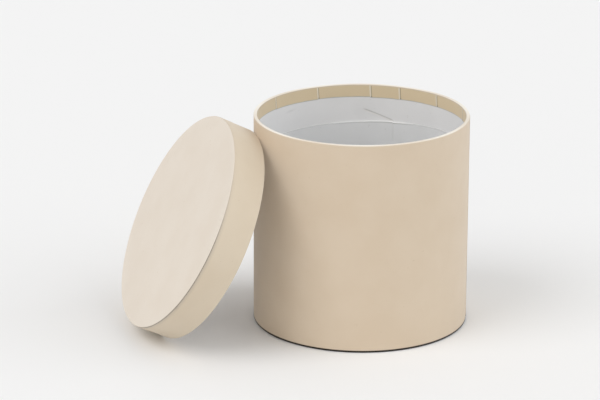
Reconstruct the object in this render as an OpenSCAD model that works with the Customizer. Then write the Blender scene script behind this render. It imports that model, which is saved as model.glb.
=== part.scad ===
// Round rigid gift box: a paper-covered board tube with a board base, and a lid that leans on its side
// Millimetres, +Z up. The origin is the centre of the underside, on the table.

/* [Body] */
// Outside radius of the covered body
body_r = 100; // [70:1:150]
// Height of the body from the table to its rim
body_h = 198.5; // [120:0.5:300]
// Thickness of the wound board tube
wall_t = 2.4; // [1.5:0.1:3.5]
// Thickness of the board disc in the foot
base_t = 2.4; // [1.5:0.1:3.5]
// Gap round each board disc, which the glue fills
base_fit = 0.1; // [0.05:0.05:0.3]

/* [Papers] */
// Thickness of the wrapping paper
wrap_t = 0.25; // [0.15:0.05:0.4]
// Thickness of the lining paper
liner_t = 0.25; // [0.15:0.05:0.4]
// Outside radius of the paper where it folds round a board edge
fold_r = 0.6; // [0.45:0.05:0.9]
// Width of the paper that is turned in over the rim and under the base
turn_in = 12; // [8:0.5:18]
// Overlap of the wrap's two ends at the upright seam
seam_lap = 14; // [6:1:20]
// Azimuth of the free end of the wrap
seam_azimuth = -1.5; // [-180:0.5:180]
// Width by which one turned-in tab laps over the next
tab_lap = 1.4; // [0.8:0.1:3]
// Lean of the hand-cut tab edges, in degrees
tab_lean = 4; // [-8:1:8]
// Most by which a hand-cut tab is deeper than the others
tab_uneven = 0.6; // [0:0.1:1.5]
// Number of notches in the margin under the base
foot_notches = 28; // [12:1:48]
// Inset of the round base paper from the foot's edge
base_paper_inset = 3; // [1.5:0.5:6]
// Azimuth at which the ends of the wall liner meet
liner_azimuth = 262; // [0:1:360]
// Gap between the ends of the wall liner
liner_slit = 0.5; // [0.3:0.1:1.5]
// Gap between the floor liner and the wall liner
floor_play = 0.3; // [0.1:0.1:1]

/* [Inner sleeve] */
// Thickness of the card sleeve
sleeve_t = 1; // [0.5:0.1:2]
// Gap between the sleeve and the wall liner
sleeve_play = 0.1; // [0.05:0.05:0.5]
// Depth of the sleeve's top edge under the rim, at the middle
sleeve_drop = 36.6; // [20:0.2:80]
// Slope of the hand-cut top edge, in degrees, up towards +X
sleeve_slant = 2.1; // [0:0.1:3]
// Azimuth at which the sleeve's ends meet
sleeve_azimuth = 72; // [0:1:360]
// Gap between the sleeve's ends
sleeve_slit = 0.8; // [0.3:0.1:3]

/* [Lid] */
// Height of the lid from its mouth to its face
lid_h = 32.5; // [22:0.5:60]
// Thickness of the lid's board ring
lid_wall_t = 2; // [1.2:0.1:3]
// Thickness of the lid's board disc
lid_top_t = 2; // [1.2:0.1:3]
// Gap all round between the body and the lid's turned-in paper
lid_play = 0.7; // [0.6:0.1:1.5]
// Distance of the side paper's edge from the lid's face
strip_inset = 0.9; // [0.6:0.1:2]
// Length over which the side paper climbs onto the folded margin of the face paper
strip_ramp = 3; // [1:0.5:5]
// Overlap of the side paper's two ends
strip_lap = 12; // [6:1:20]
// Azimuth of the side paper's overlap, in the lid's own frame
strip_azimuth = 270; // [200:5:330]
// Number of notches in the folded margin of the face paper
margin_notches = 36; // [16:1:48]
// Number of tabs in the paper turned in round the mouth
mouth_tabs = 13; // [6:1:20]

/* [Leaning lid] */
// Whether the lid leans on the body, as it is stored, or closes it
lid_place = "leaning"; // [leaning, closed]
// Depth under the rim at which the lid's edge touches the body
lean_drop = 13.5; // [5:0.5:40]
// Least angle between the leaning lid and the upright, in degrees
lean_least = 12; // [8:1:30]
// Azimuth towards which the leaning lid's face looks
lean_azimuth = 198.9; // [0:0.1:360]
// Distance by which the leaning lid stands to one side of the body's middle
lean_shift = -11.8; // [-30:0.2:30]
// Gap kept where the lid touches the body and the table
lean_gap = 0.3; // [0.2:0.1:1]

/* [Hidden] */
$fn = 180;
// Overshoot of a cutting shape past the face that it cuts
past = 1;
// Angle by which the cutters of two neighbouring tabs overlap
trim_overlap = 0.02;

// Colours as photographed
wrap_colour = [0.86, 0.79, 0.69];
liner_colour = [0.78, 0.79, 0.80];
board_colour = [0.62, 0.58, 0.52];
sleeve_colour = [0.74, 0.75, 0.76];

// Corner radius of a board edge inside its paper fold
board_r = fold_r - wrap_t;

// Radii of the body's layers, from the outside in
tube_or = body_r - wrap_t;
tube_ir = tube_or - wall_t;
liner_ir = tube_ir - liner_t;
tab_ir = liner_ir - wrap_t;
sleeve_or = liner_ir - sleeve_play;
sleeve_ir = sleeve_or - sleeve_t;

// Heights of the body's layers, from the table up
foot_z = 2 * wrap_t;
base_top = foot_z + base_t;
floor_z = base_top + liner_t;
liner_top = body_h - fold_r;
sleeve_top = body_h - sleeve_drop;

// Azimuths at which neighbouring tabs lap inside the rim
tab_azimuths = [43.3, 68.4, 85.3, 115.8, 146.8, 173, 201, 226, 254, 281, 306, 334, 14];
lap_angle = seam_lap / body_r * 180 / PI;
// Distance at which an overlap ends short of the folds, where its second layer is pressed flat
lap_inset = 2 * fold_r;

// Radii of the lid's layers, from the inside out
lid_tab_ir = body_r + lid_play;
lid_liner_ir = lid_tab_ir + wrap_t;
ring_ir = lid_liner_ir + liner_t;
ring_or = ring_ir + lid_wall_t;
margin_or = ring_or + wrap_t;
lid_r = margin_or + wrap_t;
strip_angle = strip_lap / lid_r * 180 / PI;

// Heights of the lid's layers, from its mouth up
disc_top = lid_h - wrap_t;
disc_z = disc_top - lid_top_t;
lid_ceiling = disc_z - liner_t;
margin_z = lid_h - turn_in;
strip_top = lid_h - strip_inset;
mouth_azimuths = [for (i = [0 : mouth_tabs - 1]) (i + 0.25 * sin(i * 110)) * 360 / mouth_tabs];

// Tilt of the leaning lid from the upright: steep enough for its edge to touch lean_drop under the rim
lean = acos(min(cos(lean_least), (body_h - lean_drop) / (2 * margin_or)));
// Radius of the circle that the middle of the mouth's rounded edge runs on
edge_r = margin_or - fold_r;
// A lid that stands to one side meets the round body beside its own highest point, and so stands nearer
side_slack = pow(lean_shift, 2) / 2 * sin(lean) / (body_r * sin(lean) + margin_or);
lean_x = body_r + lean_gap - side_slack + edge_r * sin(lean) + fold_r * (1 - cos(lean));
lean_z = edge_r * cos(lean) + fold_r * (1 - sin(lean)) + lean_gap;

// Section of an upright bar between two radii and two heights, all four corners rounded
module rounded_bar(r0, r1, z0, z1, corner) {
    translate([r0, z0 + corner]) square([r1 - r0, z1 - z0 - 2 * corner]);
    translate([r0 + corner, z0]) square([r1 - r0 - 2 * corner, z1 - z0]);
    for (r = [r0 + corner, r1 - corner], z = [z0 + corner, z1 - corner])
        translate([r, z]) circle(corner);
}

// Plain tube between two radii and two heights
module tube(r0, r1, z0, z1) {
    rotate_extrude()
        translate([r0, z0]) square([r1 - r0, z1 - z0]);
}

// Stretch of such a tube that starts at one azimuth and spans an angle
module tube_stretch(r0, r1, z0, z1, azimuth, angle) {
    rotate([0, 0, azimuth])
        rotate_extrude(angle = angle)
            translate([r0, z0]) square([r1 - r0, z1 - z0]);
}

// Cutter for an upright slit of a given width through a wall of radius r at one azimuth
module upright_slit(width, azimuth, r, height) {
    rotate([0, 0, azimuth])
        translate([r - turn_in, -width / 2, -past]) cube([2 * turn_in, width, height + 2 * past]);
}

// Cutter for a notch in a paper margin that lies level: its point is at the origin and it widens along +X
module margin_notch(length, width) {
    translate([0, 0, -past])
        linear_extrude(2 * past)
            polygon([[0, 0], [length + past, -width / 2], [length + past, width / 2]]);
}

// Depth of one hand-cut tab, each a little different from the next
function tab_depth(i) = turn_in + tab_uneven * (1 + sin(i * 137)) / 2;

// Cutter that trims each tab to its own depth, inside a rim at height 0, on a face of radius r
module tab_trims(r, azimuths) {
    count = len(azimuths);
    for (i = [0 : count - 1]) {
        span = (azimuths[(i + 1) % count] - azimuths[i] + 360) % 360;
        tube_stretch(
            r - wrap_t - past, r + liner_t / 2, -turn_in - tab_uneven - past, -tab_depth(i),
            azimuths[i] - trim_overlap, span + 2 * trim_overlap
        );
    }
}

// Second layers where the leaning edge of each tab laps over its neighbour, inside a rim at height 0
module tab_laps(r, azimuths) {
    for (azimuth = azimuths)
        intersection() {
            tube(r - 2 * wrap_t, r - wrap_t / 2, -turn_in, -lap_inset);
            rotate([0, 0, azimuth])
                translate([r, 0, -turn_in / 2])
                    rotate([tab_lean, 0, 0]) cube([turn_in, tab_lap, 2 * turn_in], center = true);
        }
}

// Section of the board tube
module tube_section() {
    rounded_bar(tube_ir, tube_or, foot_z, body_h - wrap_t, board_r);
}

// Wound board tube, its edges eased
module body_tube() {
    color(board_colour)
        rotate_extrude() tube_section();
}

// Board disc glued inside the foot of the tube
module base_disc() {
    color(board_colour)
        translate([0, 0, foot_z]) cylinder(r = tube_ir - base_fit, h = base_t);
}

// Section of the wrap: under the foot, up the wall, over the rim, and down over the lining
module wrap_section() {
    wall_middle = (tube_ir + tube_or) / 2;
    difference() {
        union() {
            rounded_bar(tab_ir, body_r, wrap_t, body_h, fold_r);
            translate([body_r - turn_in, wrap_t]) square([turn_in - fold_r, wrap_t]);
        }
        tube_section();
        translate([tab_ir - past, foot_z])
            square([wall_middle - tab_ir + past, body_h - turn_in - tab_uneven - foot_z]);
        translate([liner_ir, foot_z]) square([wall_middle - liner_ir, liner_top - foot_z]);
    }
}

// Outer paper of the body: its ends overlap in an upright seam, its margins are turned in at rim and foot
module body_wrap() {
    notch_w = 2 * PI * turn_in / foot_notches + tab_lap;
    color(wrap_colour) {
        difference() {
            rotate_extrude() wrap_section();
            translate([0, 0, body_h]) tab_trims(liner_ir, tab_azimuths);
            for (i = [0 : foot_notches - 1])
                rotate([0, 0, (i + 0.5) * 360 / foot_notches])
                    translate([tube_ir, 0, wrap_t]) rotate([0, 0, 180]) margin_notch(turn_in, notch_w);
        }
        translate([0, 0, body_h]) tab_laps(liner_ir, tab_azimuths);
        tube_stretch(
            body_r - wrap_t / 2, body_r + wrap_t, wrap_t + lap_inset, body_h - lap_inset,
            seam_azimuth, lap_angle
        );
    }
}

// Round paper that covers the notched margin underneath
module base_paper() {
    color(wrap_colour) cylinder(r = body_r - base_paper_inset, h = wrap_t);
}

// Lining paper of the wall, its ends butted
module wall_liner() {
    color(liner_colour)
        difference() {
            tube(liner_ir, tube_ir, base_top, liner_top);
            upright_slit(liner_slit, liner_azimuth, liner_ir, body_h);
        }
}

// Card sleeve that stands on the floor inside: a rolled strip, its ends butted and its top cut by hand
module inner_sleeve() {
    color(sleeve_colour)
        difference() {
            tube(sleeve_ir, sleeve_or, floor_z, body_h);
            upright_slit(sleeve_slit, sleeve_azimuth, sleeve_ir, body_h);
            translate([0, 0, sleeve_top])
                rotate([0, -sleeve_slant, 0])
                    translate([-2 * body_r, -2 * body_r, 0]) cube([4 * body_r, 4 * body_r, body_h]);
        }
}

// Round lining paper on the floor
module floor_liner() {
    color(liner_colour)
        translate([0, 0, base_top]) cylinder(r = liner_ir - floor_play, h = liner_t);
}

// Puts a piece of the lid, drawn with its mouth at height 0 and its face up, in the lid's place
module place_lid() {
    if (lid_place == "closed")
        translate([0, 0, body_h - lid_ceiling]) children();
    else
        rotate([0, 0, lean_azimuth])
            translate([lean_x, lean_shift, lean_z])
                rotate([0, 90 - lean, 0]) children();
}

// Section of the lid's board ring
module ring_section() {
    rounded_bar(ring_ir, ring_or, wrap_t, disc_top, board_r);
}

// Board ring of the lid, its edges eased
module lid_ring() {
    color(board_colour)
        place_lid() rotate_extrude() ring_section();
}

// Board disc of the lid, glued inside the ring
module lid_disc() {
    color(board_colour)
        place_lid()
            translate([0, 0, disc_z]) cylinder(r = ring_ir - base_fit, h = lid_top_t);
}

// Section of the face paper, its margin folded down over the ring
module face_section() {
    ring_middle = (ring_ir + ring_or) / 2;
    difference() {
        union() {
            rounded_bar(ring_middle, margin_or, 0, lid_h, fold_r);
            translate([0, disc_top]) square([ring_or - fold_r, wrap_t]);
        }
        ring_section();
        square([ring_middle + fold_r, disc_top]);
        square([lid_r, margin_z]);
    }
}

// Face paper of the lid: the margin that the side paper covers is notched to lie flat
module lid_top_paper() {
    notch_w = 2 * PI * turn_in / margin_notches + tab_lap;
    color(wrap_colour)
        place_lid()
            difference() {
                rotate_extrude() face_section();
                for (i = [0 : margin_notches - 1])
                    rotate([0, 0, (i + 0.5) * 360 / margin_notches])
                        translate([ring_or, 0, lid_h - 2 * fold_r])
                            rotate([0, 90, 0]) margin_notch(turn_in - 2 * fold_r, notch_w);
            }
}

// Section of the side paper: round the mouth, up the ring, and onto the folded margin of the face paper
module strip_section() {
    ring_middle = (ring_ir + ring_or) / 2;
    difference() {
        rounded_bar(lid_tab_ir, margin_or, 0, lid_h, fold_r);
        ring_section();
        translate([lid_tab_ir - past, turn_in + tab_uneven])
            square([ring_middle - lid_tab_ir + past, lid_h]);
        translate([lid_liner_ir, fold_r]) square([ring_middle - lid_liner_ir, lid_h]);
        translate([ring_middle, margin_z]) square([lid_r, lid_h]);
    }
    polygon([
        [margin_or, margin_z - strip_ramp], [lid_r, margin_z],
        [lid_r, strip_top], [margin_or, strip_top]
    ]);
}

// Section of the side paper's second layer, where its ends overlap
module strip_lap_section() {
    sunk = wrap_t / 2;
    polygon([
        [margin_or - sunk, lap_inset], [margin_or + wrap_t, lap_inset],
        [margin_or + wrap_t, margin_z - strip_ramp], [lid_r + wrap_t, margin_z],
        [lid_r + wrap_t, strip_top - sunk], [lid_r - sunk, strip_top - sunk], [lid_r - sunk, margin_z],
        [margin_or - sunk, margin_z - strip_ramp]
    ]);
}

// Side paper of the lid: a strip whose two ends overlap, turned in round the mouth in tabs
module lid_side_paper() {
    color(wrap_colour)
        place_lid() {
            difference() {
                rotate_extrude() strip_section();
                mirror([0, 0, 1]) tab_trims(lid_liner_ir, mouth_azimuths);
            }
            mirror([0, 0, 1]) tab_laps(lid_liner_ir, mouth_azimuths);
            rotate([0, 0, strip_azimuth]) rotate_extrude(angle = strip_angle) strip_lap_section();
        }
}

// Lining paper of the lid's side, its ends butted
module lid_side_liner() {
    color(liner_colour)
        place_lid()
            difference() {
                tube(lid_liner_ir, ring_ir, fold_r, disc_z);
                upright_slit(liner_slit, liner_azimuth, lid_liner_ir, lid_h);
            }
}

// Round lining paper inside the lid's face
module lid_top_liner() {
    color(liner_colour)
        place_lid()
            translate([0, 0, lid_ceiling]) cylinder(r = lid_liner_ir - floor_play, h = liner_t);
}

body_tube();
base_disc();
body_wrap();
base_paper();
wall_liner();
inner_sleeve();
floor_liner();
lid_ring();
lid_disc();
lid_top_paper();
lid_side_paper();
lid_side_liner();
lid_top_liner();
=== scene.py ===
# %% [markdown]
# # A round gift box with its lid leaning on it
# The real object is a rigid paper box made by hand: a wound greyboard tube and a shallow lid,
# covered in cream wrapping paper and lined in grey-white paper. The CAD frame gives every board
# and sheet its place. Here the five sheets that the eye meets are laid again as fine surfaces,
# with their overlaps, hand-cut tabs and creases. The boards and the hidden papers keep their CAD
# shape, and every piece gets a finish made from nodes.

# %% Load the frame
import math

import bmesh
import bpy
import numpy as np
from mathutils import Matrix, Vector


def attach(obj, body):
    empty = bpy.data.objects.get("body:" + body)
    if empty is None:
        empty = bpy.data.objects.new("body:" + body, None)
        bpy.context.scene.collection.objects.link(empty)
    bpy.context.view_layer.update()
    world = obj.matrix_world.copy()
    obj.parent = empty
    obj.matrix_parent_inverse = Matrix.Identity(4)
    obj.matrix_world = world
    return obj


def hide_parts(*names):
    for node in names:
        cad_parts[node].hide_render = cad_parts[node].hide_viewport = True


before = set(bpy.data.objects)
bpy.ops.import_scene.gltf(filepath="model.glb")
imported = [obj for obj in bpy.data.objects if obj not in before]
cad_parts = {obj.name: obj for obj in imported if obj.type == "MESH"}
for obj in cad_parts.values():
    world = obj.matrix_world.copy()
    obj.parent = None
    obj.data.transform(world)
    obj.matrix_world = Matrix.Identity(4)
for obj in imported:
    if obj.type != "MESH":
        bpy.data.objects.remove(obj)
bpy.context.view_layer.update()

MM = 0.001
print("CAD nodes:", ", ".join(sorted(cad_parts)))

# %% [markdown]
# ## The camera
# The camera could be placed by eye, but the box has two true circles, its rim and its lid, whose
# outlines in the photograph fix the view. The lens and the place below come from fitting both
# circles at once. The same numbers also turn a pixel into a place on the box, so that a crease or
# a mark can be put where the photograph shows it, on the surface that carries it.

# %% Camera
PHOTO_WIDTH, PHOTO_HEIGHT = 600, 400
SENSOR_MM, FOCAL_PIXELS = 36, 3126.6
EYE = np.array([0.0, -2.7715, 1.0352])
yaw, pitch, roll = (math.radians(angle) for angle in (-1.173, 18.389, 0.246))
look = np.array(
    [math.sin(yaw) * math.cos(pitch), math.cos(yaw) * math.cos(pitch), -math.sin(pitch)]
)
level = np.array([math.cos(yaw), -math.sin(yaw), 0.0])
upright = np.cross(level, look)
right = math.cos(roll) * level + math.sin(roll) * upright
up = math.cos(roll) * upright - math.sin(roll) * level


def put_in_scene(name, data):
    """An object that holds this data, linked to the scene."""
    made = bpy.data.objects.new(name, data)
    bpy.context.scene.collection.objects.link(made)
    return made


camera_data = bpy.data.cameras.new("photo_camera")
camera_data.sensor_width = SENSOR_MM
camera_data.lens = FOCAL_PIXELS * SENSOR_MM / PHOTO_WIDTH
camera_data.clip_start, camera_data.clip_end = 0.1, 50
camera = put_in_scene("photo_camera", camera_data)
camera.matrix_world = Matrix(
    [(right[i], up[i], -look[i], EYE[i]) for i in range(3)] + [(0, 0, 0, 1)]
)
bpy.context.scene.camera = camera
print(f"lens {camera_data.lens:.1f} mm")

# %% From a place to a pixel and back
MIDDLE_X, MIDDLE_Y = PHOTO_WIDTH / 2, PHOTO_HEIGHT / 2


def to_pixels(points):
    """Pixel of each point, where d is point - eye and F the focal length in pixels.

    x is the middle + F·(d·right)/(d·look), and y is the middle - F·(d·up)/(d·look).
    """
    d = points - EYE
    depth = d @ look
    x = MIDDLE_X + FOCAL_PIXELS * (d @ right) / depth
    y = MIDDLE_Y - FOCAL_PIXELS * (d @ up) / depth
    return np.stack([x, y], axis=-1)


def ray(x, y):
    """Direction through a pixel: look + right·(x - middle)/F - up·(y - middle)/F."""
    return look + right * (x - MIDDLE_X) / FOCAL_PIXELS - up * (y - MIDDLE_Y) / FOCAL_PIXELS


def wall_place(x, y, radius):
    """Azimuth (degrees) and height (mm) where the pixel's ray meets the far inside wall.

    Seen from above, |eye + t·ray| = radius has two answers, and the larger t is the far wall.
    """
    way = ray(x, y)
    a, b = way[:2] @ way[:2], EYE[:2] @ way[:2]
    c = EYE[:2] @ EYE[:2] - (radius * MM) ** 2
    place = EYE + (-b + math.sqrt(b * b - a * c)) / a * way
    return math.degrees(math.atan2(place[1], place[0])), place[2] / MM


print("the middle of the foot is at pixel", to_pixels(np.zeros(3)).round(1))

# %% [markdown]
# ## How a sheet is laid
# Paper could be a single skin with a Solidify modifier, but then every overlap would be a second
# skin with loose edges. Here a sheet is one closed surface instead: u runs along its outer face,
# over its cut edge and back along its inner face, and v goes round the box. Where the paper lies
# double, the outer face steps out by one thickness. Extra grid lines stand close together at each
# step, so it stays crisp. All sizes are the CAD's, in millimetres and degrees, because a sheet
# that is laid again has to lie exactly where the CAD's sheet lies.

# %% Grid helpers
# Grid lines beside a step stand this close, and nothing real is as small as TINY
CLOSE_MM, CLOSE_DEGREES, TINY = 0.05, 0.02, 1e-6


def turn(angle):
    """The same angle between -180 and 180 degrees."""
    return (angle + 180) % 360 - 180


def overlap(azimuth, start, angle):
    """1 where an azimuth lies between start and start + angle, else 0."""
    half = angle / 2
    return (np.abs(turn(azimuth - (start + half))) <= half + 0.001).astype(float)


def bell(value, width):
    """A soft spot: e to the power -(value / width)²."""
    return np.exp(-((value / width) ** 2))


def azimuths(steps, edges, lines=()):
    """Even azimuths round the box, with three close ones at every edge and one at every line."""
    close = [np.asarray(edges) + shift for shift in (-CLOSE_DEGREES, 0, CLOSE_DEGREES)]
    every = np.concatenate([np.linspace(0, 360, steps, endpoint=False), *close, *lines]) % 360
    return np.unique(every.round(4))[:, None]


def bend(azimuth, radius, height):
    """Points (r·cos a, r·sin a, z) in metres, from degrees and millimetres."""
    angle, radius, height = np.broadcast_arrays(np.radians(azimuth), radius, height)
    return np.stack([radius * np.cos(angle), radius * np.sin(angle), height], axis=-1) * MM


print("190 degrees is the same as", turn(190))

# %% Paths of a section
# The papers' thickness, the outer radius of their folds, and how far from an edge they lie flat
PAPER, FOLD = 0.25, 0.6
FLAT = 2 * FOLD


def straight(start, end, outward, count):
    """Points start + (end - start)·t. The columns are r, z and the outward direction."""
    t = np.linspace(0, 1, count)[:, None]
    line = np.array(start) * (1 - t) + np.array(end) * t
    return np.hstack([line, np.tile(outward, (count, 1))])


def folded(middle, first, last, count=6):
    """Points middle + FOLD·(cos a, sin a), which face away from the middle."""
    angle = np.radians(np.linspace(first, last, count))
    way = np.stack([np.cos(angle), np.sin(angle)], axis=1)
    return np.hstack([np.array(middle) + FOLD * way, way])


def join_path(*runs):
    """The runs end to end, without the points that two of them share."""
    path = np.vstack(runs)
    apart = np.linalg.norm(np.diff(path[:, :2], axis=0), axis=1) > TINY
    return path[np.concatenate([[True], apart])]


def section_loop(radius, height, path, lift, azimuth):
    """Grid of a sheet: its outer face moved out by lift, then back along its inner face.

    A point of the inner face is the outer one - PAPER·(outward direction).
    """
    outer = bend(azimuth, radius + lift * path[:, 2], height + lift * path[:, 3])
    inner = bend(azimuth, radius - PAPER * path[:, 2], height - PAPER * path[:, 3])
    return np.concatenate([outer, inner[:, ::-1]], axis=1)


def on_outer(mark):
    """A mark on the outer face only: zeros are added for the inner face."""
    return np.concatenate([mark, np.zeros_like(mark)], axis=1)


print("a fold in three points:", folded((0, 0), 0, 90, 3)[:, :2].round(2).tolist())


# %% From a grid to a closed piece
def lay_sheet(name, points, marks, round_u=True, round_v=True):
    """A closed mesh from a grid points[v, u]. A direction that isn't round ends in two flat caps.

    marks are values from 0 to 1 at every point, kept as attributes for the finish to read.
    """
    rows, columns = points.shape[:2]
    index = np.arange(rows * columns).reshape(rows, columns)
    here, ahead = (index, np.roll(index, -1, 0)) if round_v else (index[:-1], index[1:])
    if round_u:
        corners = here, ahead, np.roll(ahead, -1, 1), np.roll(here, -1, 1)
    else:
        corners = here[:, :-1], ahead[:, :-1], ahead[:, 1:], here[:, 1:]
    faces = np.stack(corners, axis=-1).reshape(-1, 4).tolist()
    if not round_v:
        faces += [index[0].tolist(), index[-1, ::-1].tolist()]
    if not round_u:
        faces += [index[::-1, 0].tolist(), index[:, -1].tolist()]
    mesh = bpy.data.meshes.new(name)
    mesh.from_pydata(points.reshape(-1, 3).tolist(), [], faces)
    for mark, values in marks.items():
        layer = mesh.attributes.new(mark, "FLOAT", "POINT")
        layer.data.foreach_set("value", np.clip(values, 0, 1).astype(np.float32).ravel())
    shape = bmesh.new()
    shape.from_mesh(mesh)
    if shape.calc_volume(signed=True) < 0:
        bmesh.ops.reverse_faces(shape, faces=shape.faces[:])
    gaps = sum(not edge.is_manifold for edge in shape.edges)
    shape.to_mesh(mesh)
    shape.free()
    mesh.shade_smooth()
    mesh.set_sharp_from_angle(angle=math.radians(40))
    mesh.calc_loop_triangles()
    print(f"{name}: {len(mesh.loop_triangles)} triangles, {gaps} open edges")
    return put_in_scene(name, mesh)


# %% [markdown]
# ## Colours and nodes
# A colour is read off as an sRGB hex value, but shaders reckon in linear light, so one function
# turns it. A second function empties a node tree, and a third adds a node with its settings and
# links, which keeps each finish short enough to read.

# %% Colour and node helpers
# A Mix node has sockets for numbers, vectors and colours, and these are the ones for colours
FACTOR, COLOUR_A, COLOUR_B, MIXED = 0, 6, 7, 2


def linear(colour):
    """sRGB hex to linear: c/12.92 up to 0.04045, else ((c + 0.055)/1.055)^2.4."""
    srgb = np.array([int(colour[i : i + 2], 16) for i in (1, 3, 5)]) / 255
    light = np.where(srgb <= 0.04045, srgb / 12.92, ((srgb + 0.055) / 1.055) ** 2.4)
    return (*light.tolist(), 1.0)


def empty_tree(owner):
    """The node tree of a material or a world, without the nodes that Blender puts in it."""
    owner.use_nodes = True
    owner.node_tree.nodes.clear()
    return owner.node_tree


def add_node(tree, kind, inputs=None, **settings):
    """Adds one node. inputs are values, or the outputs of other nodes, which are linked."""
    made = tree.nodes.new("ShaderNode" + kind)
    for setting, value in settings.items():
        setattr(made, setting, value)
    for socket, value in (inputs or {}).items():
        if isinstance(value, bpy.types.NodeSocket):
            tree.links.new(value, made.inputs[socket])
        else:
            made.inputs[socket].default_value = value
    return made


print("middle grey #808080 in linear light:", round(linear("#808080")[0], 3))

# %% [markdown]
# ## Paper and board
# All the finishes here are pulp: uncoated wrapping paper, thin lining paper, sleeve card and
# greyboard. They share one build. A slow cloud of a few centimetres gives the uneven tone of
# glued paper, a fine noise gives the fibre, sparse flecks are shives in the pulp, and two bumps
# give the tooth of the sheet and the cockle that wet glue leaves. Marks that follow the pieces
# come from the attributes that each mesh carries: a painted shadow beside a tab, painted shade in
# creases and under edges, a fold painted pale as wear and highlight, and a yellow tint painted as
# warm shade inside the rim. The fibre is really about 0.1 mm wide, too fine to show, so it is
# drawn as coarse as the render can hold.

# %% One build for every pulp finish
CLOUD_MM, SHIVE_MM, COCKLE_WIDTH_MM = 34, 2.6, 16
# Painted warm shade inside the rim, with a little paste yellowing: the turned-in margin is tinted
# yellow
PASTE_AND_WARM_SHADE = "#E2CFAB"


def pulp(
    name, tone, cloud, fleck, fibre_mm, tooth_mm, cockle_mm, roughness, sheen,
    line="#33271A", wear_and_highlight_tint="#F6F2E8",
):
    """A material of pulp, with sizes in millimetres.

    The colour is tone, with cloud in patches and threads and fleck in specks, and then three marks
    from attributes: a yellow tint for paste and painted warm shade, a dark one in the colour line
    that paints shade as well as glue and smudges, and a pale one that paints highlights as well as
    wear.
    """
    material = bpy.data.materials.new(name)
    tree = empty_tree(material)
    place = add_node(tree, "TexCoord").outputs["Object"]

    slow = add_node(
        tree, "TexNoise", {"Vector": place, "Scale": 1 / (CLOUD_MM * MM), "Detail": 3.0}
    )
    patch = add_node(
        tree, "MapRange", {"Value": slow.outputs["Fac"], "From Min": 0.36, "From Max": 0.66}
    )
    fibre = add_node(
        tree,
        "TexNoise",
        {"Vector": place, "Scale": 1 / (fibre_mm * MM), "Detail": 4.0, "Roughness": 0.65},
    )
    thread = add_node(
        tree,
        "MapRange",
        {"Value": fibre.outputs["Fac"], "From Min": 0.3, "From Max": 0.7, "To Max": 0.22},
    )
    shive = add_node(
        tree,
        "TexNoise",
        {"Vector": place, "Scale": 1 / (SHIVE_MM * MM), "Detail": 1.0, "Distortion": 1.2},
    )
    sparse = add_node(
        tree,
        "MapRange",
        {"Value": shive.outputs["Fac"], "From Min": 0.74, "From Max": 0.8, "To Max": 0.3},
    )

    layers = [(amount.outputs["Result"], tint) for amount, tint in
              ((patch, cloud), (thread, cloud), (sparse, fleck))]
    for mark, tint in (("paste_and_warm_shade", PASTE_AND_WARM_SHADE), ("dark_line", line), ("wear_and_highlight", wear_and_highlight_tint)):
        layers.append((add_node(tree, "Attribute", attribute_name=mark).outputs["Fac"], tint))
    colour = linear(tone)
    for amount, tint in layers:
        mix = {FACTOR: amount, COLOUR_A: colour, COLOUR_B: linear(tint)}
        colour = add_node(tree, "Mix", mix, data_type="RGBA").outputs[MIXED]

    matte = add_node(
        tree,
        "MapRange",
        {
            "Value": fibre.outputs["Fac"],
            "From Min": 0.3,
            "From Max": 0.7,
            "To Min": roughness - 0.06,
            "To Max": roughness + 0.06,
        },
    )
    wave = add_node(
        tree, "TexNoise", {"Vector": place, "Scale": 1 / (COCKLE_WIDTH_MM * MM), "Detail": 2.0}
    )
    normal = None
    for relief, height_mm in ((wave, cockle_mm), (fibre, tooth_mm)):
        bump = {"Height": relief.outputs["Fac"], "Strength": 1.0, "Distance": height_mm * MM}
        if normal:
            bump["Normal"] = normal
        normal = add_node(tree, "Bump", bump).outputs["Normal"]
    sheet = add_node(
        tree,
        "BsdfPrincipled",
        {
            "Base Color": colour,
            "Roughness": matte.outputs["Result"],
            "Normal": normal,
            "IOR": 1.5,
            "Specular IOR Level": 0.4,
            "Sheen Weight": sheen,
            "Sheen Roughness": 0.5,
        },
    )
    add_node(tree, "OutputMaterial", {"Surface": sheet.outputs["BSDF"]})
    return material


# %% The finishes
# Uncoated cream wrapping paper: matte, with a faint pale bloom where it is seen edge on
wrapping_paper = pulp(
    "wrapping_paper", "#D8C7B1", "#D5C3AC", "#B79F7E", fibre_mm=0.9, tooth_mm=0.03,
    cockle_mm=0.14, roughness=0.68, sheen=0.16, line="#1C130B",
)
# The same paper on the lid's face, in a paler, cooler tone: a lit copy that paints the stronger
# light on the face
face_paper_lit_copy = pulp(
    "wrapping_paper_lit_copy_for_lid_face", "#E4DACD", "#E1D6C8", "#B79F7E", fibre_mm=0.9,
    tooth_mm=0.03, cockle_mm=0.12, roughness=0.68, sheen=0.12,
)
# And on the lid's side, a copy between the two in tone, also painted for how the light falls there
strip_paper_lit_copy = pulp(
    "wrapping_paper_lit_copy_for_lid_side", "#D9CBB6", "#D6C7B1", "#B79F7E", fibre_mm=0.9,
    tooth_mm=0.03, cockle_mm=0.12, roughness=0.68, sheen=0.16, line="#2E1C0E",
)
# Thin grey-white lining paper: smoother and cooler, so it looks almost like primed board
lining_paper = pulp(
    "pasted_lining_paper", "#ECECED", "#E8E8E9", "#AFAEAA", fibre_mm=0.8, tooth_mm=0.02,
    cockle_mm=0.16, roughness=0.72, sheen=0.05, line="#77736C",
)
# Solid bleached card of the sleeve: dense and even; its cut edge gets a white painted highlight
sleeve_card = pulp(
    "bleached_sleeve_card", "#E7E8E9", "#E3E4E5", "#AAABA9", fibre_mm=0.9, tooth_mm=0.02,
    cockle_mm=0.1, roughness=0.66, sheen=0.05, line="#77736C", wear_and_highlight_tint="#FFFFFF",
)
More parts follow.
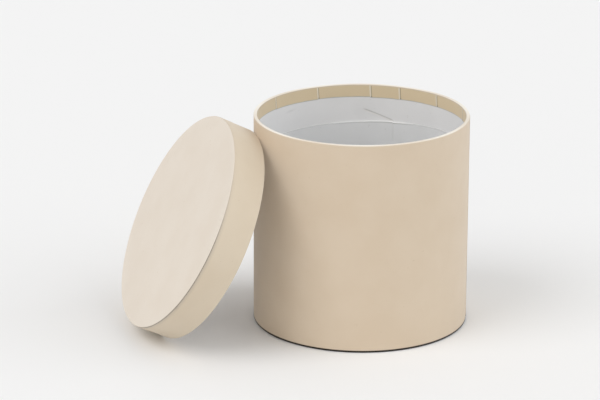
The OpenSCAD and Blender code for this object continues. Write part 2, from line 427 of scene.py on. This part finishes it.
# Greyboard: recycled pulp, coarse and full of flecks
greyboard = pulp(
    "recycled_greyboard", "#A39B8E", "#948B7D", "#5F574C", fibre_mm=1.4, tooth_mm=0.08,
    cockle_mm=0.2, roughness=0.85, sheen=0.0,
)
finishes = wrapping_paper, face_paper_lit_copy, strip_paper_lit_copy, lining_paper, sleeve_card, greyboard
print("finishes:", ", ".join(finish.name for finish in finishes))

# %% [markdown]
# ## The body's wrapping paper
# The wrap is one sheet. It starts as a notched margin under the foot, goes up the wall, over the
# rim and 12 mm down inside, where it is cut into thirteen tabs. Each tab laps over the next,
# leans a little and is cut to its own depth. The sheet's two ends overlap in an upright seam at
# the right. A lathe could give the section but none of these, so the section is carried round
# and changed with the azimuth.

# %% Sizes of the body, its tabs and its seam
BODY_R, BODY_H = 100.0, 198.5
FOOT_R, RIM_Z, TAB_TOP = BODY_R - FOLD, BODY_H - FOLD, BODY_H - FLAT
TAB_R, TURN_IN, UNEVEN = 96.85, 12.0, 0.6
LAP, LAP_R = 1.4, 97
TAB_HALF = math.degrees(LAP / 2 / LAP_R)
TAB_LEAN = math.tan(math.radians(4))
BODY_TABS = np.array([43.3, 68.4, 85.3, 115.8, 146.8, 173, 201, 226, 254, 281, 306, 334, 14])
SEAM_START, SEAM_ANGLE = -1.5, 8.02


def tab_depth(azimuth, starts):
    """Depth of tab i, from starts[i] to the next one: turn-in + uneven·(1 + sin(137°·i))/2."""
    order = np.argsort(starts)
    turned_past = np.searchsorted(starts[order], azimuth % 360, side="right")
    tab = order[(turned_past - 1) % len(starts)]
    return TURN_IN + UNEVEN * (1 + np.sin(np.radians(137 * tab))) / 2


def laps_at(from_tab):
    """1 on the laps, where an azimuth is within TAB_HALF of the start of some tab, else 0."""
    return (np.abs(from_tab) <= TAB_HALF).any(axis=1, keepdims=True)


def beside_laps(from_tab, before, width):
    """A soft line beside each lap, so many degrees before its edge: the highest of the bells."""
    return bell(from_tab + TAB_HALF + before, width).max(axis=1, keepdims=True)


print(f"a lap is {2 * TAB_HALF:.2f} degrees wide")

# %% Section of the wrap
# Its rows stand closer at the foot, where the contact shadow is painted, and in the tabs
MARGIN_IN, FOOT_ROWS, TAB_ROWS = 88, 6, 22
wrap_path = join_path(
    straight((MARGIN_IN, PAPER), (FOOT_R, PAPER), (0, -1), 5),
    folded((FOOT_R, PAPER + FOLD), -90, 0),
    straight((BODY_R, PAPER + FOLD), (BODY_R, PAPER + FLAT), (1, 0), 2),
    straight((BODY_R, PAPER + FLAT + CLOSE_MM), (BODY_R, PAPER + 2.6), (1, 0), FOOT_ROWS),
    straight((BODY_R, PAPER + 20), (BODY_R, BODY_H - 14), (1, 0), 5),
    straight((BODY_R, BODY_H - 12), (BODY_R, TAB_TOP - CLOSE_MM), (1, 0), 5),
    straight((BODY_R, TAB_TOP), (BODY_R, RIM_Z), (1, 0), 2),
    folded((FOOT_R, RIM_Z), 0, 90),
    folded((TAB_R + FOLD, RIM_Z), 90, 180),
    straight((TAB_R, RIM_Z), (TAB_R, TAB_TOP), (-1, 0), 2),
    straight((TAB_R, TAB_TOP - CLOSE_MM), (TAB_R, BODY_H - TURN_IN), (-1, 0), TAB_ROWS),
)
path_r, path_z = wrap_path[:, 0], wrap_path[:, 1]
print("points of the section:", len(wrap_path))

# %% Azimuths of the wrap
# NOTCH_HALF is half the notch's opening, in degrees
NOTCH_COUNT, NOTCH_HALF = 28, 1.02
NOTCHES = (np.arange(NOTCH_COUNT) + 0.5) * 360 / NOTCH_COUNT
seam_edges = [SEAM_START, SEAM_START + SEAM_ANGLE]
in_shadow = [BODY_TABS - TAB_HALF - shift for shift in (0.14, 0.28, 0.42, 0.6)]
at_notches = [NOTCHES, NOTCHES - NOTCH_HALF, NOTCHES + NOTCH_HALF]
before_seam = SEAM_START - np.array([3.6, 2.8, 2.2, 1.8, 1.4, 1.0, 0.6])
wrap_v = azimuths(
    330,
    np.concatenate([BODY_TABS - TAB_HALF, BODY_TABS + TAB_HALF, seam_edges]),
    [*in_shadow, *at_notches, before_seam],
)
print("azimuths of the wrap:", len(wrap_v))

# %% Notched margin under the foot
# The inner edge is at r = tip - slope·(angle from the notch)·NOTCH_R, and nowhere below MARGIN_IN
NOTCH_TIP, NOTCH_SLOPE, NOTCH_R = 97.35, 5.85, 90
from_notch = np.abs(turn(wrap_v - NOTCHES)).min(axis=1, keepdims=True)
margin_edge = np.maximum(MARGIN_IN, NOTCH_TIP - NOTCH_SLOPE * np.radians(from_notch) * NOTCH_R)
under = (path_z == PAPER) & (path_r < FOOT_R)
outwards = (path_r - MARGIN_IN) / (FOOT_R - MARGIN_IN)
wrap_r = np.where(under, margin_edge + (FOOT_R - margin_edge) * outwards, path_r)
print(f"the margin's edge is at radius {margin_edge.min():.1f} to {margin_edge.max():.1f}")

# %% Tabs inside the rim
# Each tab ends at its own depth, on a hand-cut, slightly wavy edge
inside = (path_r < TAB_R + TINY) & (path_z < TAB_TOP) & (path_z > BODY_H / 2)
hand_cut = 0.08 * np.sin(np.radians(wrap_v * 23)) + 0.05 * np.sin(np.radians(wrap_v * 57 + 40))
depth = tab_depth(wrap_v, BODY_TABS) + hand_cut
down = np.where(inside, (TAB_TOP - path_z) / (TURN_IN - FLAT), 0)
wrap_z = np.where(inside, TAB_TOP - down * (depth - FLAT), path_z)
# Tabs lean: the deeper the point, the further round it is
lean = np.degrees(TAB_LEAN * (wrap_z - BODY_H + TURN_IN / 2) / TAB_R) * inside
print(f"the tabs are {depth.min():.1f} to {depth.max():.1f} mm deep")

# %% Where the wrap lies double
from_tab = turn(wrap_v - BODY_TABS)
lapped = laps_at(from_tab)
wall = (path_r == BODY_R) & (path_z > PAPER + FLAT - CLOSE_MM) & (path_z < TAB_TOP + CLOSE_MM)
double = lapped * inside + overlap(wrap_v, SEAM_START, SEAM_ANGLE) * wall
wrap_points = section_loop(wrap_r, wrap_z, wrap_path, PAPER * double, wrap_v + lean)
print(f"{double.mean():.1%} of the wrap's points lie double")

# %% Marks on the wrap
# A lap is 0.25 mm high, a quarter of a pixel, so its shadow is painted 0.5 mm wide; painted shade
# also darkens its lower corner
lap_shadow = 0.5 * beside_laps(from_tab, 0.2, 0.22) * (1 - lapped)
lap_corner_shade = 0.7 * (beside_laps(from_tab, 0, 0.45) * bell((1 - down) * TURN_IN, 0.8))
# The free end of the sheet stands a little proud; painted shadow beside it makes a thin dark line
# up to EDGE_TOP and a darker corner at NICK_Z
EDGE_TOP, NICK_Z = 196, 191
seam_edge_shadow = bell(turn(wrap_v - SEAM_START + 0.9), 0.7) * wall * (path_z < EDGE_TOP)
seam_nick_shadow = bell(turn(wrap_v - SEAM_START + 1.4), 1.0) * wall * bell(path_z - NICK_Z, 4)
# Painted contact shadow: the lowest millimetres are darkened into the fine line where the box meets
# the table
LINE_TOP, LINE_FADE = 2.3, 0.5
foot_contact_shadow = np.clip((LINE_TOP - path_z) / LINE_FADE, 0, 1) * (path_r > LAP_R)
# These dark marks on the wrap are all painted shade and shadow
wrap_painted_shade = inside * (lap_shadow + lap_corner_shade) + 0.35 * seam_edge_shadow + 0.6 * seam_nick_shadow
# The rim's fold and the laps are painted pale, a little unevenly: partly rubbed wear, partly
# painted highlight
fold_wear_and_highlight = bell(path_z - BODY_H, 0.55) * (0.7 + 0.2 * np.sin(np.radians(wrap_v * 7)))
wrap = lay_sheet(
    "wrap_sheet",
    wrap_points,
    {
        "dark_line": on_outer(wrap_painted_shade + foot_contact_shadow),
        "wear_and_highlight": on_outer(0.55 * lapped * inside + fold_wear_and_highlight),
        # The turned-in tabs take the yellow tint: painted warm shade inside the rim, and a little
        # paste yellowing
        "paste_and_warm_shade": on_outer(0.75 * inside * np.ones_like(wrap_r)),
    },
)


# %% Dressing a piece
def dress(piece, finish, body, node):
    """Gives a laid sheet its finish and its body, and lets it stand for the CAD's."""
    piece.data.materials.append(finish)
    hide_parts(node)
    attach(piece, body)
    print(f"{piece.name} stands for {node} in {finish.name}")


dress(wrap, wrapping_paper, "box", "body_wrap")

# %% [markdown]
# ## The wall's lining and its crease
# The lining shows as a pale band between the tabs and the sleeve. A sheet pasted by hand seldom
# lies flat: the photograph shows one crease that runs down to the right, and a faint smudge. A
# bump texture would fade at a low angle, so the crease is a real ridge in the mesh, with grid
# lines close to it.

# %% Lining grid
LINER_R, LINER_FOOT, LINER_TOP = 97.1, 2.9, 197.9
LINER_JOINT, LINER_GAP = 262.0, 0.15
crease_start = wall_place(364.5, 109.5, LINER_R)
crease_end = wall_place(392, 120.5, LINER_R)
smudge_azimuth, smudge_z = wall_place(290.5, 111, LINER_R)
all_round = np.linspace(LINER_JOINT + LINER_GAP, LINER_JOINT + 360 - LINER_GAP, 361)
near_crease = np.arange(crease_end[0] - 2, crease_start[0] + 2, 0.2) + 360
liner_v = np.unique(np.concatenate([all_round, near_crease]).round(4))[:, None]
# From the foot up: plain wall, the crease's rows, and the finer rows under the tabs' cut edges
rows = np.linspace(LINER_FOOT, 156, 5), np.arange(158, 184, 0.6), np.arange(184, 188, 0.25)
liner_z = np.concatenate([*rows, [190, 194, LINER_TOP]])
print("the crease's ends, as azimuth and height:", np.round([crease_start, crease_end], 1))

# %% Ridge of the crease
# The wall is unrolled to (radians·R, z). along is the share of the crease's length that lies
# before a point's foot on it, and aside is the point's distance from it in mm
start, end = (
    np.array([math.radians(azimuth) * LINER_R, height])
    for azimuth, height in (crease_start, crease_end)
)
run = end - start
length = np.linalg.norm(run)
arc = np.radians(turn(liner_v)) * LINER_R
along = ((arc - start[0]) * run[0] + (liner_z - start[1]) * run[1]) / length**2
aside = ((arc - start[0]) * run[1] - (liner_z - start[1]) * run[0]) / length
ends = np.clip(np.minimum(along, 1 - along) * 8 + 0.6, 0, 1)
RIDGE_MM, RIDGE_WIDTH = 0.14, 0.55
liner_inner = bend(liner_v, LINER_R - RIDGE_MM * (bell(aside, RIDGE_WIDTH) * ends), liner_z)
outer_z = np.array([LINER_TOP, 100, LINER_FOOT])
liner_points = np.concatenate([liner_inner, bend(liner_v, LINER_R + PAPER, outer_z)], axis=1)
print(f"the crease is {length:.1f} mm long")

# %% Marks on the lining
no_mark = np.zeros((len(liner_v), len(outer_z)))
# Painted shadow under the tabs' cut edges
tab_edge_shadow = bell(BODY_H - tab_depth(liner_v, BODY_TABS) - liner_z - 0.2, 0.4)
smudge_arc = np.radians(turn(liner_v - smudge_azimuth)) * LINER_R
smudged = bell(smudge_arc, 5) * bell(liner_z - smudge_z + 0.1 * smudge_arc, 1.0)
# The crease gets a painted shaded side and a painted highlight; the smudge is a real mark
liner_shade_and_smudge = 0.5 * bell(aside - 0.6, 0.45) * ends + 0.55 * tab_edge_shadow + 0.14 * smudged
crease_highlight = 0.3 * bell(aside + 0.5, 0.5) * ends
lining = lay_sheet(
    "wall_lining",
    liner_points,
    {
        "dark_line": np.hstack([liner_shade_and_smudge, no_mark]),
        "wear_and_highlight": np.hstack([crease_highlight, no_mark]),
    },
    round_v=False,
)
dress(lining, lining_paper, "box", "wall_liner")

# %% [markdown]
# ## The card sleeve
# The sleeve is a strip of card rolled to stand inside. Its top was cut by hand, a little higher
# at the right, and where its two ends meet the cut steps down by half a millimetre. Light catches
# the cut edge near the joint, and this is painted on as a highlight, with a painted shadow line
# under it. Its section is carried round from one end to the other, so the joint is a real one,
# with its two ends butted.

# %% Sleeve surface
SLEEVE_IN, SLEEVE_OUT, SLEEVE_FLOOR = 96.0, 97.0, 3.15
SLEEVE_TOP, SLEEVE_SLOPE = 161.9, 0.0367
SLEEVE_JOINT, SLEEVE_GAP = 72.0, 0.03
sleeve_v = np.linspace(SLEEVE_JOINT + SLEEVE_GAP, SLEEVE_JOINT + 360 - SLEEVE_GAP, 540)[:, None]
# The cut rises at one end and drops at the other, and is a little wavy all round
past_joint = sleeve_v - SLEEVE_JOINT
cut = 0.25 * bell(past_joint, 14) - 0.25 * bell(360 - past_joint, 14)
cut = cut + 0.07 * np.sin(np.radians(sleeve_v * 19)) + 0.05 * np.sin(np.radians(sleeve_v * 43 + 20))
sleeve_top = SLEEVE_TOP + SLEEVE_SLOPE * SLEEVE_IN * np.cos(np.radians(sleeve_v)) + cut
# The section goes up the inside, over the cut, whose corners are worn off, and down the outside
WORN, DEEPEST = 0.08, 156
up_inside = [DEEPEST, 120, 80, 40, 20, 10, 6, 4, 3, 2.2, 1.6, 1.2, 0.9, 0.6, 0.4, 0.2, WORN]
down_outside = [WORN, 1, 60, DEEPEST]
below = np.array([*up_inside, 0, 0, *down_outside])
sleeve_r = np.array(
    [SLEEVE_IN] * len(up_inside)
    + [SLEEVE_IN + WORN, SLEEVE_OUT - WORN]
    + [SLEEVE_OUT] * len(down_outside)
)
sleeve_z = np.where(below == DEEPEST, SLEEVE_FLOOR, sleeve_top - below)
print(f"the sleeve's top is at {sleeve_top.min():.1f} to {sleeve_top.max():.1f} mm")

# %% Marks on the sleeve
# The painted highlight along the cut edge, placed by its pixels: its left end, its peak and its
# right end
left, peak, right_end = (wall_place(x, 122, SLEEVE_IN)[0] for x in (340, 393, 412))
lit_stretch = np.interp(
    turn(sleeve_v),
    [right_end - 1, right_end, peak, peak + 6, left, left + 6],
    [0, 0.35, 1, 0.75, 0.35, 0],
)
edge = (below < 0.5) & (sleeve_r < SLEEVE_OUT - 0.05)
# Painted shade: a dark line just under the cut follows the highlight, and the rest of the cut is
# painted duller
shadow_under_cut = (0.05 + 0.95 * lit_stretch) * bell(below - 1.1, 0.45) * (sleeve_r == SLEEVE_IN)
unlit_edge_shade = 0.2 * (1 - lit_stretch) * edge
sleeve = lay_sheet(
    "sleeve_roll",
    bend(sleeve_v, sleeve_r, sleeve_z),
    {"dark_line": 0.45 * shadow_under_cut + unlit_edge_shade, "wear_and_highlight": 0.9 * (lit_stretch * edge)},
    round_v=False,
)
dress(sleeve, sleeve_card, "box", "inner_sleeve")

# %% [markdown]
# ## The lid's face paper
# A round sheet lies on the lid and its margin is folded down over the edge. It is drawn with the
# mouth down at the origin and then tilted into place, so its section is as simple as the body's.
# The notches in its margin lie under the side paper, where nothing shows them, and are left out.

# %% Place of the leaning lid
LID_MIDDLE, LID_TURNED, LID_TILTED = (-142.145, -36.195, 92.595), 198.9, 63.3997
lid_place = (
    Matrix.Translation(np.array(LID_MIDDLE) * MM)
    @ Matrix.Rotation(math.radians(LID_TURNED), 4, "Z")
    @ Matrix.Rotation(math.radians(LID_TILTED), 4, "Y")
)
lid_turn, lid_shift = np.array(lid_place.to_3x3()), np.array(lid_place.translation)


def tilt(points):
    """Points of the lid, drawn with its mouth down at the origin, turned and then shifted."""
    return points @ lid_turn.T + lid_shift


print("the lid's axis points to", lid_turn[:, 2].round(3))

# %% Lid face surface
# The margin ends at MARGIN_Z, and the side paper over it ends at STRIP_TOP
LID_H, LID_R, MARGIN_R = 32.5, 103.7, 103.45
MARGIN_Z, STRIP_TOP = 20.5, 31.6
CENTRE_R = 2
face_path = join_path(
    straight((CENTRE_R, LID_H), (MARGIN_R - FOLD, LID_H), (0, 1), 14),
    folded((MARGIN_R - FOLD, LID_H - FOLD), 90, 0, 9),
    straight((MARGIN_R, LID_H - FOLD), (MARGIN_R, MARGIN_Z), (1, 0), 5),
)
face_v = azimuths(360, [])
face_r, face_z = face_path[:, 0], face_path[:, 1]
face_points = tilt(section_loop(face_r, face_z, face_path, 0, face_v))
print("points of the face's section:", len(face_path))

# %% How dark the side paper's edge is
lid_angles = np.arange(0, 360, 0.1)
edge_pixels = to_pixels(tilt(bend(lid_angles, LID_R, STRIP_TOP)))


def edge_azimuth(x, y):
    """Azimuth on the lid's edge whose pixel is nearest to x, y."""
    return lid_angles[np.hypot(*(edge_pixels - (x, y)).T).argmin()]


line_start, line_end, line_gone = (
    edge_azimuth(x, y) for x, y in ((143, 329), (211, 250), (232, 200))
)


def edge_strength(azimuth):
    """Full from line_start to line_end, then fading to a third at line_gone."""
    share = turn(azimuth - line_start) / turn(line_gone - line_start)
    full = turn(line_end - line_start) / turn(line_gone - line_start)
    return np.interp(share, [-0.15, 0, full, 1, 1.2], [0.1, 1, 1, 0.35, 0.1])


print("the dark edge runs from azimuth", line_start, "to", line_end, "and fades by", line_gone)

# %% Marks on the lid's face
# The bare margin beside the side paper's edge is darkened: glue stain and painted shade of the step
# together
bare_margin_glue_and_shade = bell(face_z - STRIP_TOP - 0.15, 0.3) * (face_r > MARGIN_R - 0.1)
worn = bell(np.hypot(face_r - MARGIN_R, face_z - LID_H), 0.55)
face = lay_sheet(
    "lid_face_sheet",
    face_points,
    {
        "dark_line": on_outer(0.95 * bare_margin_glue_and_shade * edge_strength(face_v)),
        "wear_and_highlight": on_outer(worn * (0.12 + 0.06 * np.sin(np.radians(face_v * 5)))),
    },
    round_u=False,
)
dress(face, face_paper_lit_copy, "lid", "lid_top_paper")

# %% [markdown]
# ## The lid's side paper
# A strip goes round the lid's side. It climbs onto the folded margin of the face paper, stops a
# millimetre short of the face, and is turned in round the mouth in lapped tabs. Its raw edge took
# up glue and lies in the shade of the step to the face; both are painted as a fine brown line
# beside the face, a little frayed in one place.

# %% Section and azimuths of the side paper
# The raw edge is ragged over its last RAGGED millimetres
LID_TAB_R, STRIP_START, STRIP_ANGLE, RAGGED = 100.7, 270.0, 6.63, 0.9
tab_numbers = np.arange(13)
MOUTH_TABS = (tab_numbers + 0.25 * np.sin(np.radians(110 * tab_numbers))) * 360 / 13
band_path = join_path(
    straight((LID_TAB_R, TURN_IN), (LID_TAB_R, FLAT), (-1, 0), 12),
    straight((LID_TAB_R, FLAT - CLOSE_MM), (LID_TAB_R, FOLD), (-1, 0), 2),
    folded((LID_TAB_R + FOLD, FOLD), 180, 270),
    folded((MARGIN_R - FOLD, FOLD), -90, 0),
    straight((MARGIN_R, FOLD), (MARGIN_R, FLAT), (1, 0), 2),
    straight((MARGIN_R, FLAT + CLOSE_MM), (MARGIN_R, MARGIN_Z - 3), (1, 0), 4),
    straight((LID_R, MARGIN_Z), (LID_R, STRIP_TOP - 1.2), (1, 0), 5),
    straight((LID_R, STRIP_TOP - RAGGED), (LID_R, STRIP_TOP), (1, 0), 4),
)
band_r, band_flat_z = band_path[:, 0], band_path[:, 1]
strip_edges = [STRIP_START, STRIP_START + STRIP_ANGLE]
band_v = azimuths(
    720, np.concatenate([MOUTH_TABS - TAB_HALF, MOUTH_TABS + TAB_HALF, strip_edges])
)
print(f"side paper: {len(band_v)} azimuths by {len(band_path)} points of the section")

# %% Side paper surface
mouth = (band_r < LID_TAB_R + TINY) & (band_flat_z >= FLAT)
from_mouth_tab = turn(band_v - MOUTH_TABS)
deeper = (band_flat_z - FLAT) / (TURN_IN - FLAT)
mouth_z = FLAT + deeper * (tab_depth(band_v, MOUTH_TABS) - FLAT)
# The raw edge: a fine ripple all round, and a nibbled place where fibres came off
outer_band = band_r == LID_R
ripple = sum(np.sin(np.radians(band_v * k + 50 * k)) for k in (37, 91, 143)) / 3
frayed = bell(turn(band_v - edge_azimuth(173, 305)), 1.6)
nibbled = 0.05 * ripple - frayed * (0.2 + 0.15 * np.sin(np.radians(band_v * 260)))
near_edge = np.clip((band_flat_z - STRIP_TOP + RAGGED) / RAGGED, 0, 1) * outer_band
band_z = np.where(mouth, mouth_z, band_flat_z) + nibbled * near_edge
side = (band_r >= MARGIN_R - TINY) & (band_flat_z > FLAT) & (band_flat_z < STRIP_TOP)
doubled = laps_at(from_mouth_tab) * mouth + overlap(band_v, STRIP_START, STRIP_ANGLE) * side
band_points = tilt(section_loop(band_r, band_z, band_path, PAPER * doubled, band_v))
print(f"the raw edge is uneven by {np.ptp(nibbled):.2f} mm")

# %% Marks on the side paper
from_edge = band_flat_z - STRIP_TOP
# The raw edge is darkened as glue stain and painted shade together, with a paler line just below it
raw_edge = bell(from_edge, 0.9) * outer_band
pale_edge = bell(from_edge + 0.8, 0.35) * outer_band
mouth_fold = bell(band_flat_z, 0.4) * (0.3 + 0.15 * np.sin(np.radians(band_v * 6 + 30)))
band_glue_and_shade = raw_edge * edge_strength(band_v) * 0.9 + 0.3 * frayed * raw_edge
mouth_shadow = 0.35 * mouth * beside_laps(from_mouth_tab, 0.16, 0.17)
band = lay_sheet(
    "lid_side_sheet",
    band_points,
    {
        "dark_line": on_outer(band_glue_and_shade + mouth_shadow),
        "wear_and_highlight": on_outer(0.3 * pale_edge * edge_strength(band_v) + mouth_fold),
    },
)
dress(band, strip_paper_lit_copy, "lid", "lid_side_paper")

# %% [markdown]
# ## The boards and the hidden papers
# These keep their CAD shape: flat discs and plain rings need nothing more. Only their finish is
# new.

# %% Finishes of the CAD nodes
FINISHES = {
    "body_tube": greyboard,
    "base_disc": greyboard,
    "lid_ring": greyboard,
    "lid_disc": greyboard,
    "base_paper": wrapping_paper,
    "floor_liner": lining_paper,
    "lid_side_liner": lining_paper,
    "lid_top_liner": lining_paper,
}
for node_name, finish in FINISHES.items():
    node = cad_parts[node_name]
    if not node.material_slots:
        node.data.materials.append(finish)
    for material_slot in node.material_slots:
        material_slot.material = finish
    print(f"{node_name}: {finish.name}")

# %% [markdown]
# ## The studio
# The photograph was taken on a white sweep in soft light: wide light from the upper left, some
# from the right, and a weak, warm fill from the front. The floor fills the whole frame, so its
# colour is the background, and it keeps the shadows.

# %% Floor
FLOOR_HALF, FLOOR_DROP = 5.0, 0.05 * MM
floor_corners = [
    (x * FLOOR_HALF, y * FLOOR_HALF, -FLOOR_DROP) for x, y in ((-1, -1), (1, -1), (1, 1), (-1, 1))
]
floor_mesh = bpy.data.meshes.new("floor")
floor_mesh.from_pydata(floor_corners, [], [(0, 1, 2, 3)])
floor = put_in_scene("floor", floor_mesh)
sweep = bpy.data.materials.new("white_sweep")
sweep_tree = empty_tree(sweep)
sweep_sheet = add_node(
    sweep_tree,
    "BsdfPrincipled",
    {"Base Color": linear("#F3F3F3"), "Roughness": 0.9, "Specular IOR Level": 0.1},
)
add_node(sweep_tree, "OutputMaterial", {"Surface": sweep_sheet.outputs["BSDF"]})
floor_mesh.materials.append(sweep)
print(f"the floor is {2 * FLOOR_HALF:.0f} m across")


# %% Lamps
def soft_sun(name, towards, strength, spread, tint):
    """A lamp as far as the sun, in the direction towards, as wide as spread in degrees.

    It gives every place the same light, so the floor stays even to the far edge of the frame.
    """
    lamp_data = bpy.data.lights.new(name, "SUN")
    lamp_data.energy, lamp_data.angle, lamp_data.color = strength, math.radians(spread), tint
    lamp = put_in_scene(name, lamp_data)
    lamp.location = Vector(towards) * 2
    lamp.rotation_euler = Vector(towards).to_track_quat("Z", "Y").to_euler()
    print(f"{name}: strength {strength}, {spread} degrees wide")


soft_sun("key", (-0.55, -0.35, 0.76), 0.88, 40, (0.99, 0.99, 1.0))
soft_sun("side", (0.82, -0.12, 0.56), 0.84, 60, (0.95, 0.98, 1.0))
soft_sun("fill", (-0.35, -0.85, 0.35), 0.22, 60, (1.0, 0.86, 0.62))

# %% World
# The camera, and what metal or glass would mirror, see the pale backdrop. The box is lit by the
# weaker ambient light
AMBIENT = 0.63
world = bpy.data.worlds.new("studio")
bpy.context.scene.world = world
world_tree = empty_tree(world)
kinds = add_node(world_tree, "LightPath").outputs
seen = kinds["Is Camera Ray"]
for kind in ("Is Glossy Ray", "Is Transmission Ray"):
    seen = add_node(world_tree, "Math", {0: seen, 1: kinds[kind]}, operation="MAXIMUM").outputs[0]
ambient = add_node(world_tree, "Background", {"Color": (1, 1, 1, 1), "Strength": AMBIENT})
backdrop = add_node(world_tree, "Background", {"Color": linear("#F5F5F5"), "Strength": 1.0})
either = add_node(
    world_tree, "MixShader", {0: seen, 1: ambient.outputs[0], 2: backdrop.outputs[0]}
)
add_node(world_tree, "OutputWorld", {"Surface": either.outputs[0]})
bpy.context.scene.view_settings.view_transform = "Standard"
print("ambient light:", AMBIENT)
